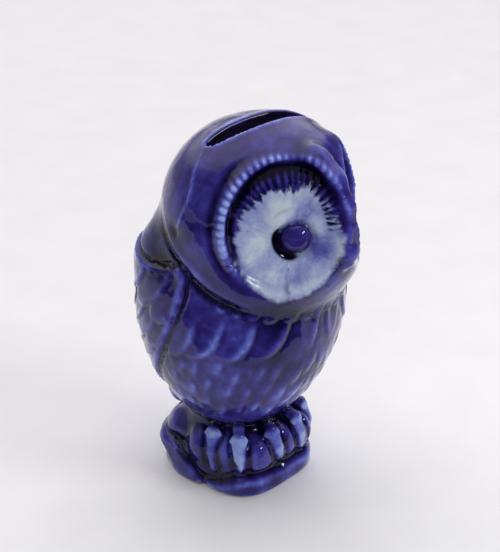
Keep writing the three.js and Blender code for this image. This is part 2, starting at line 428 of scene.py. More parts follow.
LUMPS = (
    # bearing, share of the rock's reach, height, radii
    (3.0, 0.75, 14.6, (5.8, 5.4, 6.2)),
    (30.0, 0.76, 14.6, (6.8, 6.4, 6.4)),
    (58.0, 0.76, 14.6, (6.0, 5.8, 6.2)),
    (87.0, 0.79, 14.6, (6.0, 6.4, 6.6)),
)
LUMP_BLEND = 2.5


def lumps_form(q):
    lumps = [ellipsoid(q, on_rock(degrees, share, z), radii) for degrees, share, z, radii in LUMPS]
    return merged(lumps, LUMP_BLEND)


# ---------------- feathers


class Relief:
    """Height and glaze thinness built up feather by feather, each laid over the last."""

    def __init__(self, like):
        self.height = np.zeros_like(like)
        self.thin = np.zeros_like(like)

    def lay(self, edge, rise, groove, where=1.0, front=1.0):
        inside = smooth(-0.9, 0.8, edge)
        past = np.maximum(edge, 0.0)
        lip = bell(past - 0.9, 1.7) * front
        dip = bell(np.minimum(edge, 0.0), 1.8) * (1.0 - inside) * front
        cover = inside * where
        profile = 0.5 * np.exp(-past / 5.0) + lip
        self.height = self.height * (1.0 - cover) + cover * rise * profile - dip * groove * where
        self.thin = self.thin * (1.0 - cover) + cover * lip - 0.8 * dip * where


def lobe(across, down, half_width, tip_length):
    """Distance inside the edge of a feather that hangs down and ends in a round tip."""
    x = across / half_width
    y = np.maximum(down + tip_length, 0.0) / tip_length
    return (1.0 - np.sqrt(x * x + y * y)) * half_width


PLUMAGE_Y = 0.5


def round_body(p):
    """Bearing from the front in degrees, and the reach from the axis that the plumage is laid round."""
    along = p[..., 1] - PLUMAGE_Y
    return np.degrees(np.arctan2(np.abs(p[..., 0]), -along)), np.sqrt(p[..., 0] ** 2 + along ** 2)


def wing_front(z):
    """Bearing of the folded wing's front edge at a height."""
    t = np.clip((82.0 - z) / 50.0, -0.2, 1.3)
    return 79.0 + 14.0 * t + 38.0 * t * t


def wing_rear(z):
    t = np.clip((86.0 - z) / 60.0, 0.0, 1.2)
    return 138.0 + 30.0 * t


def wing_top(bearing):
    hook = np.clip((bearing - 106.0) / 20.0, -1.2, 2.5)
    return 85.0 + 2.0 * hook * hook


def jaw_height(bearing):
    """Height of the line where the head's underside meets the body."""
    return 75.0 + 3.2 * (np.clip(bearing, 0.0, 105.0) / 45.0) ** 2.6


BREAST_ROWS = (
    # height of the tips, bearing of the first, degrees
    (30.5, 5.0),
    (39.0, 0.0),
    (47.0, 5.5),
)
BREAST_PITCH = 11.5
BREAST_LOBES = (
    # bearing at the tip, lean per mm, height of the tip, half width in degrees
    (9.5, 0.05, 60.5, 6.5),
    (37.0, 0.35, 59.5, 12.0),
    (55.0, 0.32, 58.5, 12.0),
    (73.5, 0.42, 58.0, 12.5),
    (87.0, 0.38, 57.0, 11.5),
)
RUFF_HEIGHTS = (71.0, 74.5)
RUFF_PITCH = 9.0


def lay_breast(relief, bearing, reach, z, where):
    per_degree = reach * math.pi / 180.0
    for row, (tip, first) in enumerate(BREAST_ROWS):
        for column in range(9):
            centre = first + BREAST_PITCH * column + 1.5 * math.sin(3.0 * column + row)
            low = tip + 2.2 * math.sin(2.3 * column + row) + 0.05 * centre
            across = (bearing - centre) * per_degree
            edge = lobe(across, low - z, 3.3, 8.0)
            shown = where * smooth(9.0, 4.0, z - low)
            relief.lay(edge, 0.2, 0.1, shown, 0.3 + 0.7 * smooth(1.5, -1.5, across))
    for centre, lean, low, half in BREAST_LOBES:
        middle = centre - lean * np.clip(z - low, 0.0, 22.0)
        across = (bearing - middle) * per_degree
        edge = lobe(across, low - z, half * 0.6, 11.0)
        shown = where * smooth(17.0, 10.0, z - low)
        relief.lay(edge, 0.36, 0.2, shown, 0.12 + 0.88 * smooth(0.5, -4.0, across))
    for row, low in enumerate(RUFF_HEIGHTS):
        for column in range(7):
            centre = 4.0 + RUFF_PITCH * (column + 0.5 * row) + 1.5 * math.sin(5.0 * column + row)
            height = low + 0.0016 * centre * centre
            edge = lobe((bearing - centre) * per_degree, height - z, 2.4, 2.4)
            relief.lay(edge, 0.26, 0.2, where * smooth(5.0, 3.5, z - height))


FLIGHT_FEATHERS = (
    # distance behind the wing's front edge, lean per mm, height of the tip
    (4.5, 0.34, 24.0),
    (11.0, 0.28, 27.0),
    (17.5, 0.20, 30.0),
)
WING_ROWS = (
    # height of the tips, place of the first
    (46.0, 2.0),
    (56.0, 6.0),
)
WING_PITCH = 9.0
SHOULDER_FEATHERS = (
    # distance behind the wing's front edge, height of the tip
    (7.0, 67.0),
    (18.0, 69.0),
    (29.0, 71.0),
)


def lay_wing(relief, behind, z, raised):
    for centre, lean, tip in FLIGHT_FEATHERS:
        across = behind - centre + lean * (z - tip)
        front = 0.25 + 0.75 * smooth(1.0, -2.0, across)
        relief.lay(lobe(across, tip - z, 4.2, 9.0), 0.3, 0.16, raised, front)
    for tip, first in WING_ROWS:
        for column in range(5):
            across = behind - (first + WING_PITCH * column - 0.3 * np.clip(z - tip, 0.0, 14.0))
            edge = lobe(across, tip + 0.9 * column - z, 5.6, 8.0)
            relief.lay(edge, 0.3, 0.16, raised, 0.3 + 0.7 * smooth(1.0, -3.0, across))
    for centre, tip in SHOULDER_FEATHERS:
        across = behind - centre + 0.4 * np.clip(z - tip, 0.0, 14.0)
        front = 0.4 + 0.6 * smooth(2.0, -3.0, across)
        relief.lay(lobe(across, tip - z, 7.0, 9.0), 0.4, 0.22, raised, front)


BACK_LOWEST = 46.0
BACK_ROW_RISE = 5.5
BACK_PITCH = 8.0


def lay_back(relief, aside, z, where):
    """Scale feathers in staggered rows, the upper ones over the lower."""
    for row in range(9):
        tip = BACK_LOWEST + BACK_ROW_RISE * row
        for column in range(4):
            centre = BACK_PITCH * (column + 0.5 * (row % 2))
            edge = lobe(aside - centre, tip + 0.1 * centre - z, 4.3, 5.0)
            relief.lay(edge, 0.42, 0.4, where * smooth(12.0, 9.0, z - tip))


TAIL_FEATHERS = (
    # distance from the middle, height of the tip
    (10.0, 19.0),
    (5.2, 15.5),
    (0.0, 13.5),
)


def lay_tail(relief, aside, z, where):
    for centre, tip in TAIL_FEATHERS:
        edge = lobe(aside - centre, tip - z, 3.0, 5.0)
        relief.lay(edge, 0.5, 0.45, where)


SPOTS = {
    # bearing and height, and how far each way the hollow reaches
    "pocket": ((94.0, 86.5), (13.0, 4.5)),
    "dimple": ((84.0, 101.0), (5.0, 2.4)),
    "notch": ((116.0, 12.6), (12.0, 1.7)),
}


def spot(name, bearing, z):
    (middle, height), (across, upward) = SPOTS[name]
    return bell(bearing - middle, across) * bell(z - height, upward)


def body_relief(p):
    z = p[..., 2]
    bearing, reach = round_body(p)
    per_degree = reach * math.pi / 180.0
    behind = (bearing - wing_front(z)) * per_degree
    ahead = (wing_rear(z) - bearing) * per_degree
    aside = (180.0 - bearing) * per_degree
    above_perch = smooth(24.0, 31.0, z)
    tail_zone = smooth(13.5, 11.5, np.abs(p[..., 0])) * smooth(24.0, 26.5, p[..., 1])
    tail_zone = tail_zone * smooth(54.0, 50.0, z)

    relief = Relief(z)
    breast = smooth(0.8, -0.8, behind) * smooth(1.0, -5.0, z - jaw_height(bearing)) * above_perch
    lay_breast(relief, bearing, reach, z, breast)

    lay_back(relief, aside, z, smooth(0.5, -0.8, ahead) * smooth(96.0, 90.0, z) * above_perch)

    top = wing_top(bearing) - z
    edge = blend_min(blend_min(behind, ahead, 5.0), top, 3.0)
    raised = smooth(-0.7, 0.7, edge) * above_perch
    lay_wing(relief, behind, z, raised * smooth(1.0, 3.0, edge))
    lip = bell(np.maximum(edge, 0.0) - 0.9, 1.3) * raised
    dip = bell(np.minimum(edge, 0.0) + 0.7, 1.2) * (1.0 - raised) * above_perch
    relief.height = relief.height + 0.7 * raised + 0.3 * lip - 0.55 * dip
    relief.thin = np.maximum(relief.thin, 0.8 * lip) - 0.6 * dip + 0.45 * raised

    lay_tail(relief, np.abs(p[..., 0]), z, tail_zone)
    pocket = spot("pocket", bearing, z)
    relief.height = relief.height - 1.5 * pocket
    relief.thin = relief.thin - 1.4 * pocket
    # Painted light: the lower belly is painted lighter as a painted reflection of the pale floor, and a band
    # under the chin is painted darker as painted shade.
    painted_sheen_and_shade = smooth(56.0, 36.0, z) * above_perch
    painted_sheen_and_shade = painted_sheen_and_shade - 1.4 * bell(z - 75.5, 4.5) * smooth(52.0, 30.0, bearing)
    relief.thin = relief.thin + 0.35 * painted_sheen_and_shade
    return relief


BEADS = round(2.0 * math.pi * RIM_RADIUS / BEAD_PITCH)
STROKES = 46.0
GROOVE_REACH = RIM_RADIUS - 2.9
POOL_BEARING = -30.0
WORN_BEARING = 105.0
WORN_SHARE = 0.85


def face_relief(p, q):
    """Beaded rim, its groove, and strokes round the pale disc; the right rim is worn at the top."""
    outward, upward, off = disc_place(q)
    turn, reach = disc_polar(outward, upward)
    angle = np.radians(turn)
    near = smooth(-7.0, -3.0, off)
    beside = smooth(0.6, 3.0, np.abs(p[..., 0]))
    on_rim = smooth(-52.0, -18.0, turn) * smooth(208.0, 190.0, turn) * near * beside
    beads = 0.5 + 0.5 * np.cos(angle * BEADS)
    deep = smooth(-45.0, 15.0, turn) * smooth(196.0, 168.0, turn) * near * beside
    worn = 1.0 - WORN_SHARE * smooth(0.0, 3.0, p[..., 0]) * around_angle(angle, WORN_BEARING, 85.0)
    rim = bell(reach - RIM_RADIUS, 1.25) * on_rim * worn
    groove = bell(reach - GROOVE_REACH, 1.35) * deep * worn * (0.35 + 0.65 * smooth(150.0, 95.0, turn))
    outside = bell(reach - RIM_RADIUS - 2.6, 1.4) * on_rim * worn
    band = smooth(12.0, 14.0, reach) * smooth(RIM_RADIUS - 2.4, RIM_RADIUS - 4.0, reach)
    over = smooth(5.0, 40.0, turn) * smooth(200.0, 170.0, turn) * near * worn
    shade = band * over * smooth(1.5, 5.0, np.abs(p[..., 0]))
    strokes = np.cos(angle * STROKES + 1.2 * np.sin(angle * 7.0)) * shade
    from_eye, eye_angle, _ = eye_polar(q)
    pool = bell(from_eye - EYE_RADIUS - 1.0, 1.4) * around_angle(eye_angle, POOL_BEARING, 80.0) * near
    socket = bell(from_eye - EYE_RADIUS - 0.2, 0.9) * near
    height = rim * (0.45 + 0.42 * beads) - 1.2 * groove - 0.5 * outside + 0.13 * strokes
    height = height - 0.9 * pool - 0.55 * socket
    thin = rim * (0.15 + 1.5 * beads) * (0.45 + 0.75 * around_angle(angle, 62.0, 95.0))
    thin = thin - 1.9 * groove - 0.9 * outside - 1.5 * shade + 0.8 * strokes
    return height, thin - 2.6 * pool - 1.0 * socket


def seam_relief(p):
    """The raised line where the mould's halves met, down each side of the head."""
    x = np.abs(p[..., 0])
    z = p[..., 2]
    line = -4.6 - 3.6 * bell(z - 113.5, 8.0)
    along = smooth(97.0, 104.0, z) * smooth(125.5, 123.5, z) * smooth(15.0, 17.0, x)
    return bell(p[..., 1] - line, 0.55) * along


def jaw_relief(p):
    """The crease where the head's underside meets the body, and a dimple behind each cheek."""
    z = p[..., 2]
    bearing, _ = round_body(p)
    jaw = jaw_height(bearing)
    strength = (0.12 + 0.88 * smooth(30.0, 60.0, bearing)) * smooth(108.0, 78.0, bearing)
    under = bell(z - jaw + 1.4, 2.3) * strength
    over = bell(z - jaw - 3.4, 3.2) * strength
    dimple = spot("dimple", bearing, z)
    return 0.5 * over - 1.4 * under - 0.9 * dimple, 0.2 * over - 1.1 * under - 1.2 * dimple


def perch_relief(p):
    """A plinth round the foot, a fold of clay on each side, and a hand-cut surface."""
    z = p[..., 2]
    front = smooth(30.0, 8.0, p[..., 1])
    bearing = np.degrees(np.arctan2(np.abs(p[..., 0]), -(p[..., 1] - ROCK_CENTRE[1])))
    groove_z = 9.0 - 5.0 * smooth(42.0, 75.0, bearing)
    strength = front * smooth(95.0, 75.0, bearing)
    plinth = bell(z - groove_z, 1.7) * strength
    lip = bell(z - groove_z + 3.6, 1.6) * strength
    fold_line = 84.0 + 0.28 * np.clip(z, 0.0, 20.0) ** 2
    fold_edge = (bearing - fold_line) * 0.37
    low = smooth(14.5, 10.5, z)
    fold = smooth(-1.3, 1.3, fold_edge) * low * smooth(45.0, 25.0, bearing - fold_line)
    fold_lip = bell(fold_edge - 0.5, 0.9) * low
    fold_dip = bell(fold_edge + 1.4, 1.2) * low
    notch = spot("notch", bearing, z)
    between = claw_grooves(p)
    height = 0.25 * lip - 1.3 * plinth + 1.5 * fold + 0.1 * fold_lip - 0.4 * fold_dip - 1.2 * notch
    height = height - 0.7 * between + 0.22 * ripple(p, 11.0, 5) * smooth(1.0, 4.0, z)
    thin = 0.6 * lip - 1.5 * plinth + 1.1 * fold_lip - 0.9 * fold_dip - 1.4 * notch - 1.1 * between
    return height, thin


def slot_form(p):
    x = np.abs(p[..., 0])
    half = SLOT_HALF_WIDTH * np.sqrt(np.maximum(1.02 - (x / SLOT_HALF_LENGTH) ** 2, 0.02))
    half = half * (1.0 - SLOT_FLARE * p[..., 0])
    sideways = np.abs(p[..., 1] - SLOT_Y - SLOT_SKEW * p[..., 0] - SLOT_BOW * x * x)
    beyond = np.maximum(x - SLOT_HALF_LENGTH + 1.0, 0.0)
    return np.maximum(np.sqrt(sideways ** 2 + beyond ** 2) - half, SLOT_FLOOR_Z - p[..., 2])


def surface_detail(p):
    """Height added to the trunk and to the perch, and how thin the glaze runs on each; the trunk's share
    also holds painted sheen on the lower belly and painted shade under the chin and in the slot.
    """
    q = mirrored(p)
    z = p[..., 2]
    upper = smooth(70.0, 80.0, z)
    body = body_relief(p)
    face_height, face_thin = face_relief(p, q)
    jaw_rise, jaw_thin = jaw_relief(p)
    seam = seam_relief(p)
    lips = bell(slot_form(p) - 1.6, 1.5) * smooth(112.0, 117.0, z)
    lumps = ripple(p, 24.0, 3) * smooth(84.0, 92.0, z) * smooth(-14.0, -6.0, p[..., 1])
    height = body.height + upper * (face_height + 0.28 * seam + 0.16 * lumps) + jaw_rise + 0.3 * lips
    # The slot's walls are painted near black, as painted shade in the opening.
    painted_slot_shade = smooth(1.2, 0.2, slot_form(p)) * smooth(100.0, 110.0, z)
    thin = body.thin + upper * (face_thin + 1.3 * seam) + jaw_thin + 0.45 * lips - 3.0 * painted_slot_shade
    rock_height, rock_thin = perch_relief(p)
    return height, thin, rock_height, rock_thin


def solid_form(p, height=0.0, rock_height=0.0):
    """The owl and its perch without the hollow, raised by a relief on each."""
    q = mirrored(p)
    trunk, perch = plain_form(p)
    trunk = blend_min(trunk, lid_form(q), LID_BLEND) - height
    trunk = blend_min(trunk, eye_form(q), EYE_BLEND)
    perch = blend_min(perch, lumps_form(q), ROCK_LUMP_BLEND) - rock_height
    perch = blend_min(perch, toes_form(p), ROCK_TOE_BLEND)
    return blend_min(trunk, blend_max(perch, -p[..., 2], FOOT_ROUNDING), OWL_PERCH_BLEND)


def outer_form(p):
    height, _, rock_height, _ = surface_detail(p)
    return solid_form(p, height, rock_height)


def hollow_form(p):
    trunk, perch = plain_form(p)
    chamber = blend_min(trunk, perch, CHAMBER_BLEND) + WALL
    chamber = blend_max(chamber, CHAMBER_FLOOR_Z - p[..., 2], CHAMBER_FLOOR_ROUNDING)
    away = from_hole(p)
    recess = blend_max(away - RECESS_RADIUS, p[..., 2] - RECESS_DEPTH, 1.0)
    hole = np.maximum(away - HOLE_RADIUS, np.abs(p[..., 2] - HOLE_MIDDLE_Z) - HOLE_HALF_HEIGHT)
    hollow = np.minimum(chamber, np.minimum(recess, hole))
    return blend_min(hollow, slot_form(p), 0.6)


def shell_form(p):
    return blend_max(outer_form(p), -hollow_form(p), OPENING_ROUNDING)


def rough_form(p):
    """The shell without its fine relief, quick enough for the whole grid."""
    return blend_max(solid_form(p), -hollow_form(p), OPENING_ROUNDING)


# ---------------- the stopper

FLANGE_RADIUS = 15.0
FLANGE_LOW = 5.7
FLANGE_HIGH = 7.7
PLUG_RADIUS = 12.7
PLUG_TOP = 16.7
PLUG_TAPER = 0.7
PLUG_WALL = 2.0
SEAL_HEIGHTS = (9.6, 12.4, 15.2)
SEAL_RISE = 0.25
BAR_HALF = (8.5, 1.7)
BAR_LOW = 2.7
BAR_ROUNDING = 0.9
GRIP_PITCH = 1.9
GRIP_RISE = 0.16
MOULDED_RING_RADIUS = 12.6
STOPPER_ROUNDING = 0.7


def stopper_form(p):
    """A soft plug: a disc, a hollow collar with sealing rings above it and a bar to pull below."""
    x = p[..., 0]
    y = p[..., 1] - HOLE_Y
    z = p[..., 2]
    reach = from_hole(p)
    half = 0.5 * (FLANGE_HIGH - FLANGE_LOW)
    flange = blend_max(reach - FLANGE_RADIUS, np.abs(z - FLANGE_LOW - half) - half, STOPPER_ROUNDING)
    flange = flange + 0.3 * bell(reach - MOULDED_RING_RADIUS, 0.6) * smooth(6.6, 6.2, z)
    up = np.clip((z - FLANGE_HIGH) / (PLUG_TOP - FLANGE_HIGH), 0.0, 1.0)
    outside = PLUG_RADIUS - PLUG_TAPER * up
    seal = sum(bell(z - height, 0.6) for height in SEAL_HEIGHTS) * SEAL_RISE
    collar = blend_max(reach - outside - seal, outside - PLUG_WALL - reach, STOPPER_ROUNDING)
    collar = blend_max(collar, np.maximum(z - PLUG_TOP, FLANGE_HIGH - 1.0 - z), STOPPER_ROUNDING)
    ribbed = smooth(8.0, 6.5, np.abs(x)) * smooth(5.2, 4.6, z)
    grip = GRIP_RISE * np.cos(x * 2.0 * math.pi / GRIP_PITCH) * ribbed
    bar = blend_max(np.abs(x) - BAR_HALF[0], np.abs(y) - BAR_HALF[1] + GRIP_RISE - grip, BAR_ROUNDING)
    bar = blend_max(bar, np.maximum(BAR_LOW - z, z - FLANGE_HIGH + 1.0), BAR_ROUNDING)
    return blend_min(blend_min(flange, collar, 0.5), bar, 0.8)


# ---------------- surface from a signed distance


BLOCK_DIAGONAL = 1.7
FORM_ERROR = 2.0
BLOCKS_AT_ONCE = 4000


def grid_values(form, axes, block=4):
    """The form's value at each grid point, worked out finely only in blocks near the surface."""
    counts = [len(axis) for axis in axes]
    starts = [np.arange(0, count, block) for count in counts]
    middles = [np.minimum(s + block // 2, len(axis) - 1) for s, axis in zip(starts, axes)]
    coarse_points = np.stack(np.meshgrid(*[axis[m] for axis, m in zip(axes, middles)], indexing="ij"), -1)
    coarse = np.concatenate([form(slab[None]) for slab in coarse_points])
    step = float(axes[0][1] - axes[0][0])
    values = np.repeat(np.repeat(np.repeat(coarse, block, 0), block, 1), block, 2)
    values = values[:counts[0], :counts[1], :counts[2]].copy()
    near = np.abs(coarse) < step * block * BLOCK_DIAGONAL + FORM_ERROR
    offsets = np.stack(np.meshgrid(*[np.arange(block)] * 3, indexing="ij"), -1).reshape(-1, 3)
    corners = np.argwhere(near) * block
    for part in np.array_split(corners, max(len(corners) // BLOCKS_AT_ONCE, 1)):
        index = (part[:, None, :] + offsets[None]).reshape(-1, 3)
        index = index[(index < np.array(counts)).all(1)]
        points = np.stack([axes[k][index[:, k]] for k in range(3)], -1)
        values[index[:, 0], index[:, 1], index[:, 2]] = form(points)
    return values


def surface_net(values, low, step):
    """One vertex in each grid cell that the surface crosses, and a quad on each crossed grid edge."""
    shape = values.shape
    inside = values < 0.0
    corners = [(i, j, k) for i in (0, 1) for j in (0, 1) for k in (0, 1)]
    cells = [size - 1 for size in shape]
    count = np.zeros(cells, np.int8)
    for i, j, k in corners:
        count += inside[i:cells[0] + i, j:cells[1] + j, k:cells[2] + k]
    active = (count > 0) & (count < 8)
    ids = np.argwhere(active)
    number = np.full(active.shape, -1, np.int64)
    number[active] = np.arange(len(ids))
    total = np.zeros((len(ids), 3))
    crossings = np.zeros(len(ids))
    at = {corner: values[tuple((ids + corner).T)] for corner in corners}
    for a in corners:
        for axis in range(3):
            if a[axis] == 1:
                continue
            b = tuple(1 if k == axis else a[k] for k in range(3))
            crossed = (at[a] < 0) != (at[b] < 0)
            place = np.tile(np.array(a, float), (len(ids), 1))
            gap = np.where(crossed, at[a] - at[b], 1.0)
            place[:, axis] += np.where(crossed, at[a] / gap, 0.0)
            total[crossed] += place[crossed]
            crossings[crossed] += 1
    vertices = np.array(low) + (ids + total / crossings[:, None]) * step
    quads = []
    for axis in range(3):
        here = [slice(1, size - 1) for size in shape]
        here[axis] = slice(0, shape[axis] - 1)
        there = list(here)
        there[axis] = slice(1, shape[axis])
        first_in = inside[tuple(here)]
        second_in = inside[tuple(there)]
        for flip, crossed in ((False, first_in & ~second_in), (True, ~first_in & second_in)):
            unit = np.eye(3, dtype=int)
            edge = np.argwhere(crossed) + 1 - unit[axis]
            back = unit[(axis + 1) % 3]
            down = unit[(axis + 2) % 3]
            around = [edge - back - down, edge - down, edge, edge - back]
            quad = np.stack([number[tuple(cell.T)] for cell in around], 1)
            quads.append(quad[:, ::-1] if flip else quad)
    return vertices, np.concatenate(quads)


def slope(form, points, reach=0.06):
    result = np.empty_like(points)
    for axis in range(3):
        shift = np.zeros(3, points.dtype)
        shift[axis] = reach
        result[:, axis] = (form(points + shift) - form(points - shift)) / (2.0 * reach)
    return result


SETTLE_ROUNDS = 4
LEAST_STEEPNESS = 0.05
LONGEST_MOVE = 0.8


def settle(form, points):
    """Moves points along the slope onto the surface."""
    for _ in range(SETTLE_ROUNDS):
        lean = slope(form, points)
        steep = np.maximum((lean * lean).sum(1), LEAST_STEEPNESS)
        move = lean * (form(points) / steep)[:, None]
        length = np.sqrt((move * move).sum(1))
        move *= np.minimum(1.0, LONGEST_MOVE / np.maximum(length, 1e-9))[:, None]
        points = points - move
    return points


def facing(form, points):
    """The surface's unit normals."""
    normals = slope(form, points)
    return normals / np.maximum(np.sqrt((normals * normals).sum(1)), 1e-6)[:, None]


def neighbour_pairs(faces):
    corners = faces.shape[1]
    pairs = np.concatenate([faces[:, [k, (k + 1) % corners]] for k in range(corners)])
    return np.unique(np.sort(pairs, 1), axis=0)


def spread(values, pairs, rounds):
    """Averages a value over neighbouring vertices."""
    for _ in range(rounds):
        total = values.copy()
        count = np.ones(len(values))
        for here, there in ((0, 1), (1, 0)):
            np.add.at(total, pairs[:, here], values[pairs[:, there]])
            np.add.at(count, pairs[:, here], 1)
        values = total / count
    return values


def ridge_sense(vertices, normals, pairs):
    """Positive on ridges, negative in grooves, per mm."""
    edge = vertices[pairs[:, 1]] - vertices[pairs[:, 0]]
    length2 = np.maximum((edge * edge).sum(1), 1e-6)
    bend = ((normals[pairs[:, 1]] - normals[pairs[:, 0]]) * edge).sum(1) / length2
    total = np.zeros(len(vertices))
    count = np.zeros(len(vertices))
    for side in (0, 1):
        np.add.at(total, pairs[:, side], bend)
        np.add.at(count, pairs[:, side], 1)
    return total / np.maximum(count, 1)


# ---------------- meshes

_, shell_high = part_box("ceramic_shell")
OWL_TO_FRAME = Vector((0.0, shell_high.y - BACK_REACH * MM, 0.0))


def link(made):
    bpy.context.scene.collection.objects.link(made)
    return made


def mesh_object(name, vertices, faces, normals, material):
    """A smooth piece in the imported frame, from vertices in the owl's frame."""
    vertices = vertices * MM + np.array(OWL_TO_FRAME)
    mesh = bpy.data.meshes.new(name)
    mesh.vertices.add(len(vertices))
    mesh.vertices.foreach_set("co", np.ascontiguousarray(vertices, np.float32).ravel())
    mesh.loops.add(faces.size)
    mesh.loops.foreach_set("vertex_index", np.ascontiguousarray(faces, np.int32).ravel())
    mesh.polygons.add(len(faces))
    mesh.polygons.foreach_set("loop_start", np.arange(0, faces.size, faces.shape[1], dtype=np.int32))
    mesh.polygons.foreach_set("use_smooth", np.ones(len(faces), bool))
    mesh.update(calc_edges=True)
    mesh.validate()
    mesh.materials.append(material)
    mesh.normals_split_custom_set_from_vertices(normals.astype(float))
    return link(bpy.data.objects.new(name, mesh))


def add_attribute(mesh, name, values):
    kind, field = ("FLOAT", "value") if values.ndim == 1 else ("FLOAT_VECTOR", "vector")
    attribute = mesh.attributes.new(name, kind, "POINT")
    attribute.data.foreach_set(field, np.ascontiguousarray(values, np.float32).ravel())


HIDDEN_DEPTH = 2.2
HIDDEN_SAVING = 0.85


def ease_interior(vertices, quads):
    """Coarser faces on the hidden wall of the chamber; the outside keeps all of its own."""
    hidden = outer_form(vertices) < -HIDDEN_DEPTH
    faces_inside = int(hidden[quads].all(1).sum())
    mesh = bpy.data.meshes.new("draft")
    mesh.from_pydata(vertices.tolist(), [], quads.tolist())
    draft = link(bpy.data.objects.new("draft", mesh))
    group = draft.vertex_groups.new(name="hidden")
    group.add(np.flatnonzero(hidden).tolist(), 1.0, "REPLACE")
    modifier = draft.modifiers.new("ease", "DECIMATE")
    modifier.vertex_group = group.name
    modifier.ratio = 1.0 - HIDDEN_SAVING * faces_inside / len(quads)
    eased = draft.evaluated_get(bpy.context.evaluated_depsgraph_get()).to_mesh()
    eased.calc_loop_triangles()
    places = np.empty(len(eased.vertices) * 3, np.float32)
    eased.vertices.foreach_get("co", places)
    corners = np.empty(len(eased.loop_triangles) * 3, np.int32)
    eased.loop_triangles.foreach_get("vertices", corners)
    bpy.data.objects.remove(draft)
    bpy.data.meshes.remove(mesh)
    return places.reshape(-1, 3), corners.reshape(-1, 3)


def net_of(form, low, high, step):
    """The vertices and quads of a form's surface within a box."""
    axes = [np.arange(low[k], high[k] + step, step, dtype=np.float32) for k in range(3)]
    return surface_net(grid_values(form, axes), low, step)


SHELL_LOW = (-38.0, -51.0, -2.0)
SHELL_HIGH = (38.0, 39.0, 134.0)
STOPPER_LOW = (-16.0, HOLE_Y - 16.0, 1.5)
STOPPER_HIGH = (16.0, HOLE_Y + 16.0, 18.0)
SHELL_GRID = 0.7
STOPPER_GRID = 0.4


def glaze_depth_and_painted_light(vertices, bend, pairs, by_eye):
    """How thin the glaze runs: drawn with the relief, and sharpened along every ridge and groove; the drawn
    part also holds painted sheen on the lower belly and painted shade under the chin and in the slot.
    """
    fine = spread(bend, pairs, 2)
    broad = spread(bend, pairs, 10)
    height, thin, rock_height, rock_thin = surface_detail(vertices)
    trunk, perch = plain_form(vertices)
    on_perch = smooth(-1.5, 1.5, trunk - height - perch)
    drawn = thin * (1.0 - on_perch) + rock_thin * on_perch
    sharp = np.clip(fine * 2.2, -1.0, 1.2) + np.clip(broad * 3.0, -0.7, 0.7)
    z = vertices[:, 2]
    on_claw = smooth(0.9, 0.1, toes_form(vertices)) * smooth(3.0, 9.0, z) * smooth(23.6, 22.0, z)
    return drawn * 0.75 + sharp * (1.0 - by_eye) + 1.25 * on_claw


def sculpt_shell(material):
    vertices, quads = net_of(rough_form, SHELL_LOW, SHELL_HIGH, SHELL_GRID)
    vertices, faces = ease_interior(vertices, quads)
    vertices = settle(shell_form, vertices)
    normals = facing(shell_form, vertices)
    piece = mesh_object("owl_shell", vertices, faces, normals, material)
    mesh = piece.data
    pairs = neighbour_pairs(faces)
    bend = ridge_sense(vertices, normals, pairs)

    q = mirrored(vertices)
    from_eye, _, _ = eye_polar(q)
    outward, upward, off = disc_place(q)
    turn, reach = disc_polar(outward, upward)
    before_disc = smooth(-9.0, -5.0, off)
    by_eye = smooth(12.0, 9.0, from_eye) * smooth(-6.0, -2.0, off)
    open_disc = np.maximum(smooth(2.0, 1.1, off - DISC_CURVE * (outward ** 2 + upward ** 2)), by_eye)
    clear_of_beak = 1.0 - smooth(0.0, 1.0, vertices[:, 0]) * smooth(9.0, 5.0, vertices[:, 0])
    under_rim = smooth(12.5, 14.5, reach) * smooth(RIM_RADIUS + 0.5, RIM_RADIUS - 1.5, reach)
    calm = under_rim * smooth(5.0, 40.0, turn) * smooth(215.0, 180.0, turn) * before_disc
    inner = smooth(-0.5, -3.0, outer_form(vertices))
    foot = smooth(0.55, 0.15, vertices[:, 2])
    add_attribute(mesh, "thin", glaze_depth_and_painted_light(vertices, bend, pairs, by_eye))
    add_attribute(mesh, "disc", np.stack([outward, upward, off], 1))
    add_attribute(mesh, "open_disc", open_disc * before_disc * clear_of_beak)
    add_attribute(mesh, "calm", calm)
    add_attribute(mesh, "eye", smooth(0.5, 0.1, eye_form(q)))
    add_attribute(mesh, "bare", np.maximum(foot, inner * smooth(13.0, 11.0, vertices[:, 2])))
    add_attribute(mesh, "inner", inner)
    return piece


def sculpt_stopper(material):
    vertices, quads = net_of(stopper_form, STOPPER_LOW, STOPPER_HIGH, STOPPER_GRID)
    vertices = settle(stopper_form, vertices)
    return mesh_object("owl_stopper", vertices, quads, facing(stopper_form, vertices), material)


# ---------------- materials


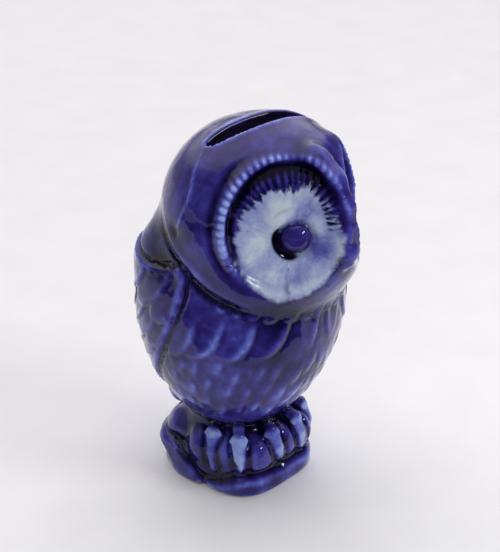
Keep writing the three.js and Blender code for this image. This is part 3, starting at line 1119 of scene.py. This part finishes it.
class Graph:
    """Builds the nodes of a material or a world; an input is either a socket or a plain value."""

    def __init__(self, owner):
        owner.use_nodes = True
        self.owner = owner
        self.tree = owner.node_tree
        kinds = ("BSDF_PRINCIPLED", "BACKGROUND")
        self.shader = next(made for made in self.tree.nodes if made.type in kinds)

    def put(self, value, socket):
        if isinstance(value, bpy.types.NodeSocket):
            self.tree.links.new(value, socket)
        else:
            socket.default_value = value

    def node(self, kind, *values, **settings):
        """A node with its settings, and values for its inputs in order."""
        made = self.tree.nodes.new("ShaderNode" + kind)
        for name, setting in settings.items():
            setattr(made, name, setting)
        for value, socket in zip(values, made.inputs):
            self.put(value, socket)
        return made

    def feed(self, made, **values):
        """Values for a node's inputs by name, with _ for a space."""
        for name, value in values.items():
            self.put(value, made.inputs[name.replace("_", " ")])
        return made

    def math(self, operation, first, second=0.0, third=0.0, clamp=False):
        return self.node("Math", first, second, third, operation=operation, use_clamp=clamp).outputs[0]

    def sway(self, noise, amount, base=0.0):
        """A base, raised or lowered as the noise is above or below its middle."""
        return self.math("MULTIPLY_ADD", self.math("SUBTRACT", noise, 0.5), amount, base)

    def length(self, x, y):
        squares = self.math("ADD", self.math("MULTIPLY", x, x), self.math("MULTIPLY", y, y))
        return self.math("SQRT", squares)

    def attribute(self, name, output="Fac"):
        return self.node("Attribute", attribute_name=name).outputs[output]

    def noise(self, scale, detail=2.0, vector=None, roughness=0.5, distortion=0.0):
        place = self.node("TexCoord").outputs["Object"] if vector is None else vector
        made = self.feed(self.node("TexNoise"), Vector=place, Scale=scale, Detail=detail)
        return self.feed(made, Roughness=roughness, Distortion=distortion).outputs["Fac"]

    def split(self, vector):
        return self.node("SeparateXYZ", vector).outputs

    def join(self, x, y, z):
        return self.node("CombineXYZ", x, y, z).outputs[0]

    def step(self, value, low, high, to_low=0.0, to_high=1.0):
        made = self.node("MapRange", value, low, high, to_low, to_high, interpolation_type="SMOOTHSTEP")
        return made.outputs["Result"]

    def ramp(self, value, stops):
        made = self.node("ValToRGB", value)
        elements = made.color_ramp.elements
        while len(elements) < len(stops):
            elements.new(0.5)
        for element, (position, colour) in zip(elements, stops):
            element.position = position
            element.color = (*colour, 1.0)
        return made.outputs["Color"]

    def mix(self, share, first, second):
        made = self.node("Mix", data_type="RGBA")
        self.put(share, made.inputs["Factor"])
        for name, value in (("A", first), ("B", second)):
            socket = next(item for item in made.inputs if item.name == name and item.type == "RGBA")
            self.put((*value, 1.0) if isinstance(value, tuple) else value, socket)
        return next(item for item in made.outputs if item.type == "RGBA")

    def bump(self, height, distance):
        return self.feed(self.node("Bump"), Strength=1.0, Distance=distance, Height=height).outputs["Normal"]

    def set(self, **values):
        self.feed(self.shader, **values)


COBALT = (
    (0.00, (0.0012, 0.0008, 0.008)),
    (0.22, (0.0085, 0.0050, 0.054)),
    (0.45, (0.0270, 0.0180, 0.158)),
    (0.62, (0.0540, 0.0460, 0.310)),
    (0.80, (0.1100, 0.1420, 0.560)),
    (1.00, (0.3200, 0.4200, 0.800)),
)
PALE = (
    (0.12, (0.080, 0.085, 0.340)),
    (0.38, (0.215, 0.255, 0.530)),
    (0.62, (0.350, 0.415, 0.640)),
    (0.90, (0.560, 0.640, 0.740)),
)
BISQUE = (0.62, 0.54, 0.42)
# Near black painted on the chamber's inside wall, as painted shade.
PAINTED_HOLLOW_SHADE = (0.012, 0.010, 0.03)
RUBBER = (
    (0.30, (0.640, 0.600, 0.520)),
    (0.70, (0.750, 0.725, 0.660)),
)
CALM_SHARE = 0.85
PALE_SPOTS = (
    # place on the disc, radius, how much whiter
    (2.5, 5.0, 6.0, 0.30),
    (11.0, -6.0, 6.0, 0.18),
    (-9.5, -7.5, 6.0, -0.34),
    (-4.5, -13.0, 4.5, -0.26),
)


def cloud_spots(graph):
    """Patches of the white made whiter or darker at listed places on the disc, darker low down towards the
    beak.
    """
    outward, upward, _ = graph.split(graph.attribute("disc", "Vector"))
    total = 0.0
    for centre_x, centre_y, radius, amount in PALE_SPOTS:
        x = graph.math("SUBTRACT", outward, centre_x)
        y = graph.math("SUBTRACT", upward, centre_y)
        total = graph.math("ADD", graph.step(graph.length(x, y), radius, 0.25 * radius, 0.0, amount), total)
    return total


def pale_disc(graph):
    """How far the pale patch of the face shows through, ragged where the brush left off."""
    outward, upward, _ = graph.split(graph.attribute("disc", "Vector"))
    x = graph.math("SUBTRACT", outward, PALE_CENTRE[0])
    y = graph.math("DIVIDE", graph.math("SUBTRACT", upward, PALE_CENTRE[1]), PALE_STRETCH)
    reach = graph.length(x, y)
    angle = graph.math("ARCTAN2", y, x)
    turn_x = graph.math("MULTIPLY", graph.math("COSINE", angle), 3.0)
    turn_y = graph.math("MULTIPLY", graph.math("SINE", angle), 3.0)
    ray = graph.join(turn_x, turn_y, graph.math("MULTIPLY", reach, 0.05))
    streaks = graph.noise(2.6, 3.0, ray, 0.65)
    lobes = graph.noise(0.9, 1.0, ray)
    ragged = graph.noise(420.0, 3.0)
    upper = graph.step(y, -6.0, 10.0)
    swing = graph.sway(streaks, graph.math("MULTIPLY_ADD", upper, 7.0, 2.2))
    swing = graph.sway(ragged, 1.6, graph.sway(lobes, 3.0, swing))
    edge = graph.math("SUBTRACT", graph.math("ADD", swing, PALE_RADIUS), reach)
    share = graph.math("MULTIPLY", graph.step(edge, -0.5, 1.6), graph.attribute("open_disc"))
    return share, streaks


def glaze_material():
    graph = Graph(bpy.data.materials.new("cobalt_glaze"))
    # The thin attribute gives the glaze's thinness, with painted sheen on the lower belly and painted shade
    # under the chin and in the slot mixed in.
    thin = graph.attribute("thin")
    broad = graph.noise(55.0, 2.0)
    small = graph.noise(260.0, 3.0, distortion=0.4)
    mottle = graph.sway(small, 0.40, graph.sway(broad, 0.85, 0.40))
    depth = graph.math("MULTIPLY_ADD", thin, 0.26, mottle, clamp=True)
    blue = graph.ramp(depth, COBALT)

    share, streaks = pale_disc(graph)
    cloud = graph.noise(95.0, 3.0)
    fleck = graph.noise(900.0, 2.0)
    white = graph.sway(cloud, 1.5, 0.62)
    white = graph.sway(fleck, 0.25, graph.sway(streaks, 0.35, white))
    white = graph.math("ADD", white, cloud_spots(graph))
    white = graph.math("MULTIPLY_ADD", thin, 0.16, white, clamp=True)
    pale = graph.ramp(white, PALE)
    share = graph.math("MULTIPLY", share, graph.step(thin, -1.3, -0.45))
    not_eye = graph.math("SUBTRACT", 1.0, graph.attribute("eye"))
    share = graph.math("MULTIPLY", share, not_eye)
    colour = graph.mix(share, blue, pale)
    # The chamber's inside wall is painted near black, as painted shade.
    colour = graph.mix(graph.attribute("inner"), colour, PAINTED_HOLLOW_SHADE)
    colour = graph.mix(graph.attribute("bare"), colour, BISQUE)

    wave = graph.math("MULTIPLY_ADD", graph.noise(520.0, 1.0), 0.16, graph.noise(130.0, 1.0))
    skin = graph.bump(wave, 0.00045)
    dulled = graph.math("MULTIPLY_ADD", graph.attribute("calm"), -CALM_SHARE, 1.0)
    glaze = graph.math("MULTIPLY", graph.math("SUBTRACT", 1.0, graph.attribute("bare")), dulled)
    graph.set(Base_Color=colour, Roughness=0.32, Specular_IOR_Level=0.0, Coat_Roughness=0.025, Coat_IOR=1.39)
    graph.set(Coat_Weight=glaze, Coat_Normal=skin, Normal=skin)
    return graph.owner


def rubber_material():
    graph = Graph(bpy.data.materials.new("stopper_rubber"))
    cloud = graph.noise(140.0, 3.0)
    dust = graph.noise(1600.0, 2.0)
    colour = graph.ramp(graph.sway(dust, 0.5, cloud), RUBBER)
    skin = graph.bump(graph.noise(2400.0, 2.0), 0.00003)
    rough = graph.step(cloud, 0.3, 0.7, 0.42, 0.56)
    graph.set(Base_Color=colour, Roughness=rough, Specular_IOR_Level=0.45, Normal=skin)
    return graph.owner


# ---------------- set

CAMERA_AZIMUTH = math.radians(-47.0)
CAMERA_ELEVATION = math.radians(28.0)
CAMERA_DISTANCE = 0.5
CAMERA_LENS = 98.15
LOOK_AT = Vector((0.0, 0.0, 0.063))
LOOK_ASIDE = 0.0028
LOOK_UP = 0.0080


def make_camera():
    back = Vector(towards(CAMERA_AZIMUTH, CAMERA_ELEVATION))
    right = Vector((0, 0, 1)).cross(back).normalized()
    up = back.cross(right)
    middle = LOOK_AT + OWL_TO_FRAME
    data = bpy.data.cameras.new("camera")
    data.lens = CAMERA_LENS
    data.sensor_width = 36.0
    camera = bpy.data.objects.new("camera", data)
    camera.location = middle + back * CAMERA_DISTANCE
    aim = middle + right * LOOK_ASIDE + up * LOOK_UP
    camera.rotation_euler = (aim - camera.location).to_track_quat("-Z", "Y").to_euler()
    bpy.context.scene.camera = link(camera)


FLOOR_GREYS = (
    (0.3, (0.80, 0.80, 0.80)),
    (0.7, (0.83, 0.83, 0.83)),
)
FLOOR_HALF = 6.0


def flat_stage(name, corners, material):
    mesh = bpy.data.meshes.new(name)
    mesh.from_pydata(corners, [], [(0, 1, 2, 3)])
    mesh.materials.append(material)
    stage = link(bpy.data.objects.new(name, mesh))
    return stage


def make_floor():
    graph = Graph(bpy.data.materials.new("pale_floor"))
    grain = graph.ramp(graph.noise(40.0, 4.0), FLOOR_GREYS)
    graph.set(Base_Color=grain, Roughness=0.7, Specular_IOR_Level=0.2)
    corners = [(x * FLOOR_HALF, y * FLOOR_HALF, 0.0) for x, y in ((-1, -1), (1, -1), (1, 1), (-1, 1))]
    flat_stage("floor", corners, graph.owner)


CARD_NEAR = 0.088
CARD_FAR = 0.9
CARD_HALF_WIDTH = 0.7
CARD_LIFT = 0.001


def make_dark_card():
    """A black card on the table before the owl, seen only in its reflections."""
    graph = Graph(bpy.data.materials.new("dark_card"))
    graph.set(Base_Color=(0.004, 0.004, 0.004, 1.0), Roughness=1.0, Specular_IOR_Level=0.0)
    forward = Vector(towards(CAMERA_AZIMUTH, 0.0))
    aside = Vector((forward.y, -forward.x, 0.0)) * CARD_HALF_WIDTH
    lift = Vector((0.0, 0.0, CARD_LIFT))
    corners = []
    for reach, side in ((CARD_NEAR, -1), (CARD_NEAR, 1), (CARD_FAR, 1), (CARD_FAR, -1)):
        corners.append(tuple(forward * reach + aside * side + lift))
    card = flat_stage("dark_card", corners, graph.owner)
    card.visible_camera = False
    card.visible_diffuse = False
    card.visible_shadow = False


def area_light(name, place, aim, size, power, glossy):
    data = bpy.data.lights.new(name, "AREA")
    data.shape = "RECTANGLE"
    data.size, data.size_y = size
    data.energy = power
    lamp = link(bpy.data.objects.new(name, data))
    lamp.location = place
    lamp.rotation_euler = (Vector(aim) - Vector(place)).to_track_quat("-Z", "Y").to_euler()
    lamp.visible_glossy = glossy


WORLD_COLOUR = (0.99, 0.965, 1.0, 1.0)
BRIGHT_SKY = (
    # direction, the range of its dot product over which the light grows, darkest, brightest
    ((0.36, 0.42, 0.83), 0.48, 0.80, 0.03, 1.65),
    ((0.50, 0.84, 0.20), -0.10, 0.50, 0.03, 0.40),
)
LAMPS = (
    # name, place, aim, size, power, whether reflections show it
    ("back_lamp", (0.47, 0.73, 0.56), (0, 0, 0.1), (0.16, 0.03), 0.35, True),
    ("front_lamp", (0.30, -0.80, 0.66), (0, 0, 0.07), (0.40, 0.11), 3.4, True),
    ("fill", (-0.9, -0.9, 0.9), (0, 0, 0.03), (1.2, 1.2), 5.0, False),
)


def make_light():
    """A dark sky with two broad bright stretches, two lamps for highlights, and a fill with no highlight."""
    graph = Graph(bpy.data.worlds.new("studio"))
    bpy.context.scene.world = graph.owner
    coords = graph.node("TexCoord").outputs["Generated"]
    stretches = []
    for direction, low, high, dark, bright in BRIGHT_SKY:
        lean = graph.node("VectorMath", coords, direction, operation="DOT_PRODUCT").outputs["Value"]
        stretches.append(graph.step(lean, low, high, dark, bright))
    graph.set(Color=WORLD_COLOUR, Strength=graph.math("MAXIMUM", *stretches))
    for lamp in LAMPS:
        area_light(*lamp)
    bpy.context.scene.view_settings.view_transform = "Standard"


make_camera()
make_light()
make_floor()
make_dark_card()

shell = sculpt_shell(glaze_material())
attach(shell, "bank")
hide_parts("ceramic_shell")

stopper = sculpt_stopper(rubber_material())
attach(stopper, "stopper")
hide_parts("base_stopper")
